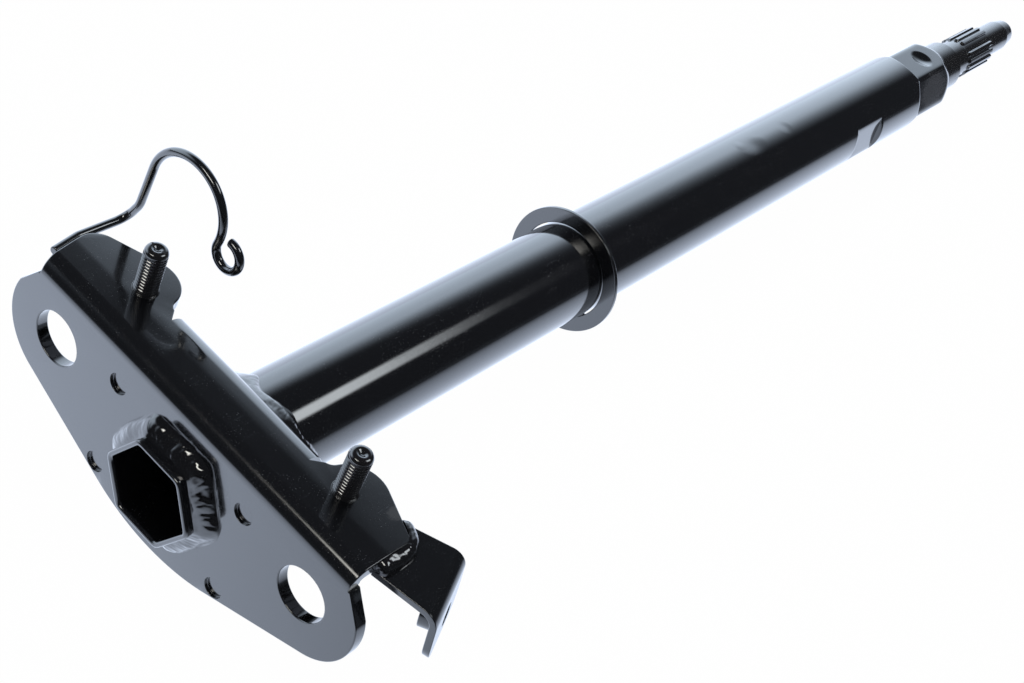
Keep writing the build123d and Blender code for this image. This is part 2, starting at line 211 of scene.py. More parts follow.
# The paper's glow in the gloss fades out in front of the plate and on the tab's side.
paper_glow = 0.99
paper_tint = (1.13, 1.28, 1.56, 1.0)
paper_front, paper_front_dim = (-0.35, -0.06), 0.04
paper_side, paper_side_dim = (-0.36, 0.10), 0.05
paper_matt = (0.95, 0.95, 0.95, 1.0)
paper = bpy.data.materials.new("white_paper")
w = empty_tree(paper)
seen, mirrored = w.rays("Camera", "Glossy")
east, north, up = w.node("ShaderNodeTexCoord", out="Object").axes()
matt = w.node("ShaderNodeBsdfDiffuse", None, {"Color": paper_matt})
bright = east.ramp(*paper_front, paper_front_dim, 1.0) * north.ramp(*paper_side, paper_side_dim, 1.0)
shade = seen.mix(bright.mix(black, paper_tint), white)
lit = w.node("ShaderNodeEmission", None, {"Color": shade, "Strength": 1.0})
share = seen * paper_glow + mirrored
surface = w.node("ShaderNodeMixShader", None, {0: share, 1: matt, 2: lit})
w.node("ShaderNodeOutputMaterial", None, {"Surface": surface})

floor_half = 4.0
floor_mesh = bpy.data.meshes.new("paper_floor")
floor_z = cad_box[0][2]
corners = [(x * floor_half, y * floor_half, floor_z) for x, y in ((-1, -1), (1, -1), (1, 1), (-1, 1))]
floor_mesh.from_pydata(corners, [], [(0, 1, 2, 3)])
floor_mesh.materials.append(paper)
floor = bpy.data.objects.new("paper_floor", floor_mesh)
scene.collection.objects.link(floor)

key_aim = Vector((0.25, 0.0, 0.0))
key = bpy.data.lights.new("soft_key", "AREA")
key.size = 1.2
key.energy = 14.0
key_lamp = bpy.data.objects.new("soft_key", key)
key_lamp.location = (0.3, 0.5, 1.6)
key_lamp.rotation_euler = (key_aim - key_lamp.location).to_track_quat("-Z", "Y").to_euler()
key_lamp.visible_glossy = False
scene.collection.objects.link(key_lamp)


# Black coat
# The whole weldment was dipped and baked in one glossy black coat over steel. It has a faint
# orange peel, fine dust and light handling scratches, a few dents and rubbed marks, and a pale
# sheen painted on one of the tube's flats.
peel_grain = {"Scale": 900.0, "Detail": 3.0}
patch_grain = {"Scale": 90.0, "Detail": 2.0}
dust_grain = {"Scale": 2300.0, "Detail": 1.0}
dust_cut = (0.70, 0.76)
dust_patches = (0.4, 0.6)
dust_tint = (0.30, 0.31, 0.33, 1.0)
scratch_turn = (0.4, 0.2, 0.7)
scratch_scale = (60.0, 1600.0, 1600.0)
scratch_cut = (0.63, 0.72)
scratch_patches = (0.45, 0.6)
scuff_and_sheen_edge = (0.7, 1.1)
scuff_and_sheen_raggedness = 0.8
fine_dulling, patch_dulling, dust_dulling = 0.05, 0.06, 0.3
mean_dulling = 0.05
patch_relief = 4
scratch_relief = 0.4
relief_height = 0.00001
coat_gloss = {
    "IOR": 1.6,
    "Specular IOR Level": 0.9,
    "Coat Weight": 1.0,
    "Coat Roughness": 0.05,
    "Coat IOR": 1.5,
}


def coat_material(name, colour, rough, peel, dust, scratch, dents=(), scuffs_and_sheen=()):
    """Black coat. Dents are (centre, spread, depth); scuffs and painted sheen patches are (centre, spread,
    tint).
    """
    made = bpy.data.materials.new(name)
    w = empty_tree(made)
    place = w.node("ShaderNodeTexCoord", out="Object")
    fine = w.node("ShaderNodeTexNoise", None, {"Vector": place, **peel_grain})
    broad = w.node("ShaderNodeTexNoise", None, {"Vector": place, **patch_grain})
    specks = w.node("ShaderNodeTexNoise", None, {"Vector": place, **dust_grain})
    speck = specks.ramp(*dust_cut) * broad.ramp(*dust_patches)
    stretched = {"Vector": place, "Rotation": scratch_turn, "Scale": scratch_scale}
    streak_place = w.node("ShaderNodeMapping", None, stretched)
    streaks = w.node("ShaderNodeTexNoise", None, {"Vector": streak_place, "Scale": 1.0, "Detail": 2.0})
    streak = streaks.ramp(*scratch_cut) * broad.ramp(*scratch_patches)
    shade = (speck * dust).mix(colour, dust_tint)
    # Each patch mixes in its tint: the plate's is a rubbed spot, the tube flat's is a painted sheen.
    for centre, spread, tint in scuffs_and_sheen:
        away = place.vector("DIVIDE", place.vector("SUBTRACT", place, centre), spread)
        scuff_and_sheen_reach = away.vector("LENGTH", away, out="Value") + (fine - 0.5) * scuff_and_sheen_raggedness
        scuff_and_sheen_reach = scuff_and_sheen_reach + (streaks - 0.5) * scuff_and_sheen_raggedness
        shade = scuff_and_sheen_reach.ramp(*scuff_and_sheen_edge, 1.0, 0.0).mix(shade, tint)
    dull = fine * fine_dulling + broad * patch_dulling + streak * scratch + speck * dust_dulling
    dull = dull + (rough - mean_dulling)
    relief = fine * peel + broad * (peel * patch_relief) - streak * (scratch * scratch_relief)
    for centre, spread, depth in dents:
        away = place.vector("DIVIDE", place.vector("SUBTRACT", place, centre), spread)
        relief = relief - away.vector("LENGTH", away, out="Value").ramp(0.0, 1.0, depth, 0.0)
    normal = w.node("ShaderNodeBump", None, {"Strength": 1.0, "Distance": relief_height, "Height": relief})
    finish = {"Base Color": shade, "Roughness": dull, "Normal": normal, **coat_gloss}
    shader = w.node("ShaderNodeBsdfPrincipled", None, finish)
    w.node("ShaderNodeOutputMaterial", None, {"Surface": shader})
    return made


coat_black = (0.006, 0.0065, 0.008, 1.0)
black_coat = coat_material("black_coat", coat_black, rough=0.14, peel=0.5, dust=0.12, scratch=0.12)


# Post tube
# A drawn steel tube of 38.1 mm by 2 mm. Both ends are pressed to a hexagon over a die, the far
# one with a conical lip, two punched dimples and two pinched flats that grip the stub.
dent_marks = [
    ((0.331, 0.0, 0.01905), (0.010, 0.006, 0.010), 45.0),
    ((0.324, 0.003, 0.0188), (0.004, 0.004, 0.010), -16.0),
    ((0.359, 0.001, 0.019), (0.005, 0.005, 0.010), 22.0),
]
# A pale bluish patch painted over one hexagon flat near the crimped end: a painted sheen.
flat_painted_sheen = [((0.496, -0.0150, 0.0085), (0.0145, 0.008, 0.0105), (0.085, 0.088, 0.10, 1.0))]
tube_coat = coat_material(
    "tube_coat",
    coat_black,
    rough=0.10,
    peel=0.5,
    dust=0.2,
    scratch=0.15,
    dents=dent_marks,
    scuffs_and_sheen=flat_painted_sheen,
)

# The tube's sizes, in mm: a flat is given by its distance from the axis.
tube_radius = 19.05
tube_wall = 2.0
tube_start, tube_end = -8.5, 518.0
rim_rounding = 0.95
mouth_flat = 16.25
mouth_flare = 0.1
crimp_flat = 16.7
lip_radius = 14.7
hexagon_angles = [90 + 60 * k for k in range(6)]
pinch_angles = [172, 352]


def spread_out(*runs):
    """Places along an axis: each run goes from its start to its stop by about its step."""
    places = []
    for start, stop, step in runs:
        count = max(1, round(abs(stop - start) / step))
        places += [start + (stop - start) * k / count for k in range(count)]
    return places + [runs[-1][1]]


def lathed(name, outline, turns):
    """Turned mesh about X from (x, radius) points in mm. Ends on the axis close to a point."""
    solid = outline[0][1] == 0
    rings = outline[1:-1] if solid else outline
    angles = np.arange(turns) * 2 * pi / turns
    verts = [(x * MM, r * MM * cos(a), r * MM * sin(a)) for x, r in rings for a in angles]
    last = len(rings) - 1 if solid else len(rings)
    faces = []
    for k in range(last):
        here, there = k * turns, (k + 1) % len(rings) * turns
        for j in range(turns):
            step = (j + 1) % turns
            faces.append((here + j, here + step, there + step, there + j))
    if solid:
        verts += [(outline[0][0] * MM, 0, 0), (outline[-1][0] * MM, 0, 0)]
        for j in range(turns):
            step = (j + 1) % turns
            faces.append((len(verts) - 2, step, j))
            faces.append((len(verts) - 1, last * turns + j, last * turns + step))
    mesh = bpy.data.meshes.new(name)
    mesh.from_pydata(verts, [], faces)
    piece = bpy.data.objects.new(name, mesh)
    scene.collection.objects.link(piece)
    return piece


def start_tree(name, **inputs):
    """Geometry Nodes tree with named number inputs: its mesh and its inputs as wires."""
    tree = bpy.data.node_groups.new(name, "GeometryNodeTree")
    tree.interface.new_socket("Mesh", in_out="INPUT", socket_type="NodeSocketGeometry")
    tree.interface.new_socket("Coat", in_out="INPUT", socket_type="NodeSocketMaterial")
    for key, value in inputs.items():
        socket = tree.interface.new_socket(key, in_out="INPUT", socket_type="NodeSocketFloat")
        socket.default_value = value
    tree.interface.new_socket("Mesh", in_out="OUTPUT", socket_type="NodeSocketGeometry")
    entry = tree.nodes.new("NodeGroupInput")
    return {socket.name: Wire(tree, socket) for socket in entry.outputs if socket.name}


def end_tree(wires, moved):
    """Moves the mesh's points by or to a wire, coats it and ends the tree."""
    mesh = wires["Mesh"].node("GeometryNodeSetPosition", None, {"Geometry": wires["Mesh"], **moved})
    real = mesh.node("GeometryNodeRealizeInstances", None, {"Geometry": mesh})
    coated = real.node("GeometryNodeSetMaterial", None, {"Geometry": real, "Material": wires["Coat"]})
    coated.node("NodeGroupOutput", None, {"Mesh": coated})
    return wires["Mesh"].tree


def baked(piece):
    """Turns what a piece's modifiers make of it into its plain mesh."""
    graph = bpy.context.evaluated_depsgraph_get()
    done = bpy.data.meshes.new_from_object(piece.evaluated_get(graph))
    piece.modifiers.clear()
    piece.data = done
    return done


def shaped(piece, tree, coat, sharp=30.0):
    """Runs a tree on a piece, with its coat, and keeps the smooth mesh that it gives."""
    modifier = piece.modifiers.new(tree.name, "NODES")
    modifier.node_group = tree
    for socket in tree.interface.items_tree:
        if socket.name == "Coat":
            modifier[socket.identifier] = coat
    done = baked(piece)
    done.polygons.foreach_set("use_smooth", [True] * len(done.polygons))
    done.set_sharp_from_angle(angle=radians(sharp))


def finish_piece(piece, replaced):
    """Puts a finished piece on its body, and stands it in for its solid."""
    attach(piece, "root")
    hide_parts(replaced)


# The press tree: each flat is a power term, so flats and round run into each other softly.
wires = start_tree(
    "press",
    Radius=tube_radius * MM,
    Mouth=mouth_flat * MM,
    Mouth_end=7.0 * MM,
    Mouth_slope=(tube_radius - mouth_flat) / 8,
    Flare_start=-2.0 * MM,
    Flare=mouth_flare,
    Crimp=crimp_flat * MM,
    Crimp_start=478.6 * MM,
    Crimp_slope=(tube_radius - crimp_flat) / 2.5,
    Pinch_depth=2.1 * MM,
    Pinch_middle=423.75 * MM,
    Pinch_half=11.75 * MM,
    Pinch_slope=2.1,
    Lip_start=507.0 * MM,
    Lip_slope=(tube_radius - lip_radius) / 11,
    Press_end=518.02 * MM,
    Punch_x=497.5 * MM,
    Punch_radius=6.25 * MM,
    Punch_depth=1.5 * MM,
    Sharpness=70.0,
)
spot = wires["Mesh"].node("GeometryNodeInputPosition")
x, y, z = spot.axes()
own = (y * y + z * z) ** 0.5
inset = wires["Radius"] - own
mouth = wires["Mouth"] + x.math("MAXIMUM", x - wires["Mouth_end"], 0.0) * wires["Mouth_slope"]
mouth = mouth + x.math("MAXIMUM", wires["Flare_start"] - x, 0.0) * wires["Flare"]
crimp = wires["Crimp"] + x.math("MAXIMUM", wires["Crimp_start"] - x, 0.0) * wires["Crimp_slope"]
past = x.math("ABSOLUTE", x - wires["Pinch_middle"]) - wires["Pinch_half"]
pinch = wires["Radius"] - wires["Pinch_depth"] + past.math("MAXIMUM", past, 0.0) * wires["Pinch_slope"]
lip = wires["Radius"] - (x - wires["Lip_start"]) * wires["Lip_slope"]
hexagon = mouth.math("MINIMUM", mouth, crimp)
pressed = (own / (lip - inset)) ** wires["Sharpness"]
flats = [(angle, hexagon) for angle in hexagon_angles] + [(angle, pinch) for angle in pinch_angles]
for angle, depth in flats:
    reach = y * cos(radians(angle)) + z * sin(radians(angle))
    pressed = pressed + (reach.math("MAXIMUM", reach, 0.0) / (depth - inset)) ** wires["Sharpness"]
squeeze = (1.0 + pressed) ** (-1.0 / wires["Sharpness"])
squeeze = 1.0 + (squeeze - 1.0) * (x < wires["Press_end"])
away = ((x - wires["Punch_x"]) ** 2.0 + y * y) / (wires["Punch_radius"] ** 2.0)
sink = away.math("MAXIMUM", 1.0 - away, 0.0) * wires["Punch_depth"] * z.math("SIGN", z)
place = x.node("ShaderNodeCombineXYZ", None, {0: x, 1: y * squeeze, 2: z * squeeze - sink})
press = end_tree(wires, {"Position": place})

# Rows of points lie close together where the tube is pressed and far apart where it is plain.
outer = spread_out(
    (tube_start + rim_rounding, 24.0, 0.6),
    (24.0, 405.0, 12.0),
    (405.0, 440.0, 0.5),
    (440.0, 473.0, 5.0),
    (473.0, tube_end - rim_rounding, 0.5),
)
bore = spread_out(
    (tube_end - rim_rounding, 473.0, 1.5),
    (473.0, 440.0, 8.0),
    (440.0, 405.0, 1.0),
    (405.0, 24.0, 24.0),
    (24.0, tube_start + rim_rounding, 1.0),
)
middle = tube_radius - tube_wall / 2
rim = [(rim_rounding * cos(a), rim_rounding * sin(a)) for a in np.radians(np.linspace(75, -75, 7))]
far_rim = [(tube_end - rim_rounding + x, middle + r) for x, r in rim]
near_rim = [(tube_start + rim_rounding - x, middle - r) for x, r in rim]
wall = [(x, tube_radius) for x in outer] + far_rim + [(x, tube_radius - tube_wall) for x in bore] + near_rim
tube = lathed("post_tube_pressed", wall, turns=180)
shaped(tube, press, tube_coat, sharp=60.0)
finish_piece(tube, "post_tube")


# Splined stub
# A turned steel bar gripped in the tube's crimped end, with rolled splines, one tooth left out
# so that the steering arm fits only one way round. Its coat is thinner, browner and duller.
bare_black = (0.010, 0.009, 0.009, 1.0)
stub_coat = coat_material("stub_coat", bare_black, rough=0.22, peel=0.7, dust=0.2, scratch=0.2)
# Places and radii in mm: the shank inside the tube, the collar, the neck, the splines, the nose.
stub_outline = [
    (402.0, 0.0),
    (402.0, 17.05),
    (517.9, 17.05),
    (518.1, 12.7),
    (535.8, 12.7),
    (537.0, 11.5),
    (537.0, 9.8),
    (552.5, 9.8),
    (553.5, 10.8),
    (580.5, 10.8),
    (581.5, 8.3),
    (605.0, 8.3),
    (614.5, 6.9),
    (618.5, 4.8),
    (618.5, 0.0),
]
hidden_step, shown_step, face_step = 2.0, 0.7, 1.0
turned = []
for (x0, r0), (x1, r1) in zip(stub_outline, stub_outline[1:]):
    step = hidden_step if x0 < tube_end else shown_step
    for x in spread_out((x0, x1, step)) if x1 > x0 else spread_out((0, abs(r1 - r0), face_step)):
        share = (x - x0) / (x1 - x0) if x1 > x0 else x / abs(r1 - r0)
        turned.append((x0 + (x1 - x0) * share, r0 + (r1 - r0) * share))
turned = [point for point, follower in zip(turned, turned[1:] + [(0, 0)]) if point != follower]
stub = lathed("splined_stub_rolled", turned, turns=340)
shaped(stub, press, stub_coat)

# The roll tree: a groove between each pair of teeth, and the missing tooth cut down whole.
wires = start_tree(
    "roll_splines",
    Teeth=17.0,
    Root=9.7 * MM,
    Start=552.4 * MM,
    End=581.6 * MM,
    Missing=radians(110),
    Groove_half=0.24,
    Flank_start=0.45,
    Flank_end=1.25,
    Gap_start=0.4,
    Gap_end=0.62,
)
spot = wires["Mesh"].node("GeometryNodeInputPosition")
x, y, z = spot.axes()
own = (y * y + z * z) ** 0.5
turned_by = (z.math("ARCTAN2", z, y) - wires["Missing"]) * wires["Teeth"] / (2 * pi)
phase = turned_by.math("FLOORED_MODULO", turned_by, 1.0)
beside = phase.math("ABSOLUTE", phase - 0.5)
groove = (beside / wires["Groove_half"]).ramp(wires["Flank_start"], wires["Flank_end"], 1.0, 0.0)
round_trip = turned_by.math("FLOORED_MODULO", turned_by + 0.5, wires["Teeth"])
gap = round_trip.math("ABSOLUTE", round_trip - 0.5).ramp(wires["Gap_start"], wires["Gap_end"], 1.0, 0.0)
cut = groove.math("MAXIMUM", groove, gap) * (x > wires["Start"]) * (x < wires["End"])
extra = own.math("MAXIMUM", own - wires["Root"], 0.0)
squeeze = (own - extra * cut) / own.math("MAXIMUM", own, 1e-6)
place = x.node("ShaderNodeCombineXYZ", None, {0: x, 1: y * squeeze, 2: z * squeeze})
roll = end_tree(wires, {"Position": place})
shaped(stub, roll, stub_coat, sharp=40.0)
finish_piece(stub, "splined_stub")


# Handlebar plate
# One stamping of 4.5 mm sheet: the front web, the flange bent back over it and the lip that
# straddles the tube. Its sheared edges are softened by the coat.
double_gap = 0.000002
level_gap = 0.00004
level_turn = 0.02
most_sides = 8
fill_gap = 1e-5
sliver = 0.0001


def level_region(seed):
    """The faces joined to a face that lie level with it."""
    normal, home = seed.normal.copy(), seed.verts[0].co.copy()
    region, queue = {seed}, [seed]
    while queue:
        for line in queue.pop().edges:
            for other in line.link_faces:
                level = all(abs((vert.co - home).dot(normal)) < level_gap for vert in other.verts)
                if other not in region and level and other.normal.angle(normal, pi) < level_turn:
                    region.add(other)
                    queue.append(other)
    return region


def refilled(mesh):
    """Fills each flat region again, with triangles drawn only between the points of its outline.

    The bevel leaves flat faces of many sides, which shade badly as they are."""
    work = bmesh.new()
    work.from_mesh(mesh)
    bmesh.ops.remove_doubles(work, verts=work.verts, dist=1.5 * double_gap)
    many_sided = (face for face in work.faces if len(face.verts) > most_sides)
    done = set()
    for seed in sorted(many_sided, key=lambda face: -face.calc_area()):
        if seed in done:
            continue
        normal, home = seed.normal.copy(), seed.verts[0].co.copy()
        region = level_region(seed)
        done |= region
        border = [line for line in work.edges if sum(face in region for face in line.link_faces) == 1]
        bounds = list({vert: None for line in border for vert in line.verts})
        index = {vert: k for k, vert in enumerate(bounds)}
        u = normal.orthogonal().normalized()
        v = normal.cross(u)
        flat = [Vector((vert.co.dot(u), vert.co.dot(v))) * 1000 for vert in bounds]
        lines = [tuple(index[vert] for vert in line.verts) for line in border]
        points, _, triangles, sources, _, _ = delaunay_2d_cdt(flat, lines, [], 0, fill_gap)
        if len(points) != len(bounds):
            continue
        starts = np.array([flat[a] for a, b in lines])
        stops = np.array([flat[b] for a, b in lines])
        inside = {line for face in region for line in face.edges} - set(border)
        bmesh.ops.delete(work, geom=list(region), context="FACES_ONLY")
        bmesh.ops.delete(work, geom=list(inside), context="EDGES")
        for triangle in triangles:
            first, second, third = (points[k] for k in triangle)
            if abs((second - first).cross(third - first)) < sliver:
                continue
            here = (first + second + third) / 3
            spans = (starts[:, 1] > here.y) != (stops[:, 1] > here.y)
            rise = np.where(spans, stops[:, 1] - starts[:, 1], 1.0)
            reach = starts[:, 0] + (here.y - starts[:, 1]) / rise * (stops[:, 0] - starts[:, 0])
            if np.count_nonzero(spans & (reach > here.x)) % 2 == 0:
                continue
            made = work.faces.new([bounds[sources[k][0]] for k in triangle])
            made.smooth = True
            made.normal_update()
            if made.normal.dot(normal) < 0:
                made.normal_flip()
    loose = [vert for vert in work.verts if not vert.link_faces]
    bmesh.ops.delete(work, geom=loose, context="VERTS")
    work.to_mesh(mesh)
    work.free()


def trimmed(mesh, outline, low, high):
    """Cuts a straight-sided notch out of a mesh, and its mirror image on the other side.

    The outline is in x and y and goes from low to high in z, in mm."""
    work = bmesh.new()
    work.from_mesh(mesh)
    bmesh.ops.remove_doubles(work, verts=work.verts, dist=double_gap)
    work.to_mesh(mesh)
    work.free()
    piece = bpy.data.objects.new("trimmed", mesh)
    scene.collection.objects.link(piece)
    tools = []
    for side in (1, -1):
        corners = [(x * MM, side * y * MM, z * MM) for z in (low, high) for x, y in outline]
        count = len(outline)
        walls = [(k, (k + 1) % count, (k + 1) % count + count, k + count) for k in range(count)]
        wedge = bpy.data.meshes.new("wedge")
        wedge.from_pydata(corners, [], [tuple(range(count)), tuple(range(count, 2 * count)), *walls])
        work = bmesh.new()
        work.from_mesh(wedge)
        bmesh.ops.recalc_face_normals(work, faces=work.faces)
        work.to_mesh(wedge)
        work.free()
        tools.append(bpy.data.objects.new("wedge", wedge))
        scene.collection.objects.link(tools[-1])
        cut = piece.modifiers.new("cut", "BOOLEAN")
        cut.operation = "DIFFERENCE"
        cut.object = tools[-1]
    done = baked(piece)
    for spare in [piece, *tools]:
        bpy.data.objects.remove(spare)
    return done


flat_turn, edge_turn, shade_turn = radians(0.3), radians(35), radians(40)


def eased(name, node, edge, coat, reshape=None, notch=None):
    """A copy of a solid, notched and reshaped if asked, with its edges rounded over."""
    mesh = nodes[node].data.copy()
    if notch:
        mesh = trimmed(mesh, *notch)
    work = bmesh.new()
    work.from_mesh(mesh)
    bmesh.ops.remove_doubles(work, verts=work.verts, dist=double_gap)
    bmesh.ops.dissolve_limit(work, angle_limit=flat_turn, verts=work.verts, edges=work.edges)
    weights = work.edges.layers.float.new("bevel_weight_edge")
    for line in work.edges:
        line[weights] = float(len(line.link_faces) == 2 and line.calc_face_angle() > edge_turn)
    if reshape:
        reshape(work, weights)
    for face in work.faces:
        face.smooth = True
    work.to_mesh(mesh)
    work.free()
    mesh.materials.clear()
    mesh.materials.append(coat)
    if "custom_normal" in mesh.attributes:
        mesh.attributes.remove(mesh.attributes["custom_normal"])
    piece = bpy.data.objects.new(name, mesh)
    scene.collection.objects.link(piece)
    bevel = piece.modifiers.new("eased", "BEVEL")
    bevel.width = edge * MM
    bevel.segments = 3
    bevel.limit_method = "WEIGHT"
    bevel.use_clamp_overlap = False
    bevel.loop_slide = False
    refilled(baked(piece))
    piece.data.set_sharp_from_angle(angle=shade_turn)
    even = piece.modifiers.new("even", "WEIGHTED_NORMAL")
    even.keep_sharp = True
    even.weight = 100
    baked(piece)
    finish_piece(piece, node)


# Where the plate's details are, in mm. Pairs of numbers are the ends of a span.
sheet_face_x = 2.1
dimple_places = [(y, z) for y in (-29.3, 29.3) for z in (17.6, -20.5)]
dimple_radius, dimple_rim = 3.3, 5.0
dimple_opening, dimple_depth, dimple_edge = 1.24, 0.6, 0.4
round_end_y, round_end_z = 67.0, (-12.0, -9.0)
foot_x, foot_y = (18.0, 25.0), (31.5, 33.5)
flange_end_y, flange_end_z = 70.5, (26.0, 29.0)
crease_x, crease_half, crease_angle = 14.5, 1.5, radians(3.0)
crease_cuts = (13.0, 14.0, 15.0, 16.0)
stud_x, stud_y, stud_seat = 20.5, 46.4, 5.5


def within(value, span):
    """Whether a value lies between the ends of a span."""
    return span[0] < value < span[1]


def at_round_end(y, z):
    """Whether a place is at the step where the web's straight side meets its round end."""
    return abs(abs(y) - round_end_y) < 0.05 and within(z, round_end_z)


def stamp_details(work, weights):
    """Opens and flattens the dimples, creases the flange and leaves some joints' edges sharp."""
    # The small step in the web's outline is smoothed away.
    steps = [vert for vert in work.verts if at_round_end(vert.co.y / MM, vert.co.z / MM)]
    for vert in steps:
        vert.co.z = max(other.co.z for other in steps)
    bmesh.ops.remove_doubles(work, verts=steps, dist=double_gap)
    for vert in work.verts:
        x, y, z = vert.co / MM
        for centre_y, centre_z in dimple_places:
            if x < sheet_face_x and hypot(y - centre_y, z - centre_z) < dimple_radius:
                vert.co.x *= dimple_depth
                vert.co.y = (centre_y + (y - centre_y) * dimple_opening) * MM
                vert.co.z = (centre_z + (z - centre_z) * dimple_opening) * MM
    for cut in crease_cuts:
        geometry = work.verts[:] + work.edges[:] + work.faces[:]
        bmesh.ops.bisect_plane(work, geom=geometry, plane_co=(cut * MM, 0, 0), plane_no=(1, 0, 0))
    for vert in work.verts:
        x, y, z = vert.co / MM
        if z > 3 and x > crease_x - crease_half:
            past = x - crease_x
            fall = past if past > crease_half else (past + crease_half) ** 2 / (4 * crease_half)
            vert.co.z -= tan(crease_angle) * fall * MM
    for line in work.edges:
        x, y, z = (line.verts[0].co + line.verts[1].co) / 2 / MM
        at_foot = within(x, foot_x) and within(abs(y), foot_y)
        at_stud = hypot(x - stud_x, abs(y) - stud_y) < stud_seat
        at_flange_end = abs(y) > flange_end_y and within(z, flange_end_z)
        if at_foot or at_stud or at_flange_end or at_round_end(y, z):
            line[weights] = 0.0
        elif x < sheet_face_x and any(hypot(y - cy, z - cz) < dimple_rim for cy, cz in dimple_places):
            line[weights] *= dimple_edge


# The rubbed spot on the flange, beside the right stud.
plate_scuffs = [((0.0295, -0.0610, 0.0340), (0.0045, 0.0028, 0.004), (0.05, 0.052, 0.055, 1.0))]
plate_coat = coat_material(
    "plate_coat", coat_black, rough=0.14, peel=0.5, dust=0.15, scratch=0.12, scuffs_and_sheen=plate_scuffs
)
# The corner that is trimmed off each wing's foot, where it meets the lip.
foot_notch = ([(19.2, 32.0), (23.9, 32.0), (23.9, 35.9), (22.9, 35.0)], 28.0, 36.0)
eased("handlebar_plate_stamped", "handlebar_plate", 0.5, plate_coat, stamp_details, foot_notch)


# Mouth weld
# The fillet weld that holds the plate on the tube's hexagonal mouth. It is laid all round by
# hand, so it has ripples across it and uneven lumps along it.
weld_black = (0.007, 0.007, 0.008, 1.0)
weld_coat = coat_material("weld_coat", weld_black, rough=0.10, peel=1.0, dust=0.1, scratch=0.05)


def bead(name, first_toe, second_toe, root, bulge, closed=False, blunt=3.0):
    """Weld bead between two toe lines, over a root line hidden in the joint, in mm.

    It bulges out by this much, and an open one rounds off over the blunt length at each end."""
    first_toe, second_toe, root = np.array(first_toe), np.array(second_toe), np.array(root)
    middle = (first_toe + second_toe) / 2
    run = np.linalg.norm(np.diff(middle, axis=0), axis=1)
    along = np.concatenate(([0.0], np.cumsum(run)))
    out = middle - root
    out /= np.linalg.norm(out, axis=1)[:, None]
    ease = np.ones(len(root))
    if not closed:
        near_end = np.minimum(along, along[-1] - along)
        ease = np.sqrt(np.clip(1 - (1 - np.clip(near_end / blunt, 0, 1)) ** 2, 0.002, 1))
    across = np.linspace(0, 1, 17)
    front = [first_toe * (1 - s) + second_toe * s + out * bulge * 4 * s * (1 - s) for s in across]
    back = [second_toe * (1 - s) + root * s for s in (0.5, 1.0)] + [root * 0.5 + first_toe * 0.5]
    rings = np.stack(front + back, axis=1)
    rings = root[:, None] + (rings - root[:, None]) * ease[:, None, None]
    count, wide = rings.shape[:2]
    faces = []
    for k in range(count if closed else count - 1):
        here, there = k * wide, (k + 1) % count * wide
        for j in range(wide):
            step = (j + 1) % wide
            faces.append((here + j, here + step, there + step, there + j))
    if not closed:
        faces.append(tuple(range(wide)))
        faces.append(tuple(range((count - 1) * wide, count * wide)))
    mesh = bpy.data.meshes.new(name)
    mesh.from_pydata((rings * MM).reshape(-1, 3).tolist(), [], faces)
    work = bmesh.new()
    work.from_mesh(mesh)
    bmesh.ops.recalc_face_normals(work, faces=work.faces)
    work.to_mesh(mesh)
    work.free()
    crown = np.concatenate((4 * across * (1 - across), np.zeros(3)))
    mesh.attributes.new("along", "FLOAT", "POINT").data.foreach_set("value", np.repeat(along * MM, wide))
    mesh.attributes.new("crown", "FLOAT", "POINT").data.foreach_set("value", np.tile(crown, count))
    piece = bpy.data.objects.new(name, mesh)
    scene.collection.objects.link(piece)
    return piece


# The ripple tree: crescents across the bead, low lumps along it, nothing at its toes.
wires = start_tree(
    "ripple",
    Height=0.07 * MM,
    Pitch=2.4 * MM,
    Bow=1.2,
    Lumps=1.3 * MM,
    Lump_scale=80.0,
    Lump_shift=2.0,
    Grit_scale=420.0,
    Grit_shift=1.2,
    Toe=0.6,
)
along = wires["Mesh"].node("GeometryNodeInputNamedAttribute", {"data_type": "FLOAT"}, {"Name": "along"})
crown = wires["Mesh"].node("GeometryNodeInputNamedAttribute", {"data_type": "FLOAT"}, {"Name": "crown"})
spot = wires["Mesh"].node("GeometryNodeInputPosition")
normal = wires["Mesh"].node("GeometryNodeInputNormal")
lump = spot.node("ShaderNodeTexNoise", None, {"Vector": spot, "Scale": wires["Lump_scale"], "Detail": 2.0})
grit = spot.node("ShaderNodeTexNoise", None, {"Vector": spot, "Scale": wires["Grit_scale"], "Detail": 1.0})
phase = along / wires["Pitch"] + crown * wires["Bow"]
phase = phase + grit * wires["Grit_shift"] + lump * wires["Lump_shift"]
scallop = phase.math("ABSOLUTE", phase.math("SINE", phase * pi))
hold = crown.ramp(0.0, wires["Toe"])
lift = (scallop * wires["Height"] + (lump - 0.5) * 2.0 * wires["Lumps"]) * hold
offset = normal.node("ShaderNodeVectorMath", {"operation": "SCALE"}, {"Vector": normal, "Scale": lift})
ripple = end_tree(wires, {"Offset": offset})


def hexagon_radius(angles, flat, power):
    """Distance out to a hexagon's softly cornered outline at each angle."""
    total = sum(np.clip(np.cos(angles - radians(90 + 60 * k)), 0, 1) ** power for k in range(6))
    return flat * total ** (-1 / power)


def ring_line(angles, x, radius):
    """Line round the X axis, at x and this far out at each angle."""
    return np.stack((np.full(len(angles), x), radius * np.cos(angles), radius * np.sin(angles)), axis=1)


mouth_weld_x = -5.2
mouth_weld_flat = 22.3
all_round = np.linspace(0, 2 * pi, 420, endpoint=False)
on_tube = hexagon_radius(all_round, mouth_flat, power=40)
on_plate = hexagon_radius(all_round, mouth_weld_flat, power=14)
mouth_weld = bead(
    "hex_weld_laid",
    first_toe=ring_line(all_round, mouth_weld_x, on_tube + 0.1),
    second_toe=ring_line(all_round, 0.1, on_plate),
    root=ring_line(all_round, 0.3, on_tube - 0.5),
    bulge=1.0,
    closed=True,
)
shaped(mouth_weld, ripple, weld_coat, sharp=70.0)
finish_piece(mouth_weld, "hex_weld")


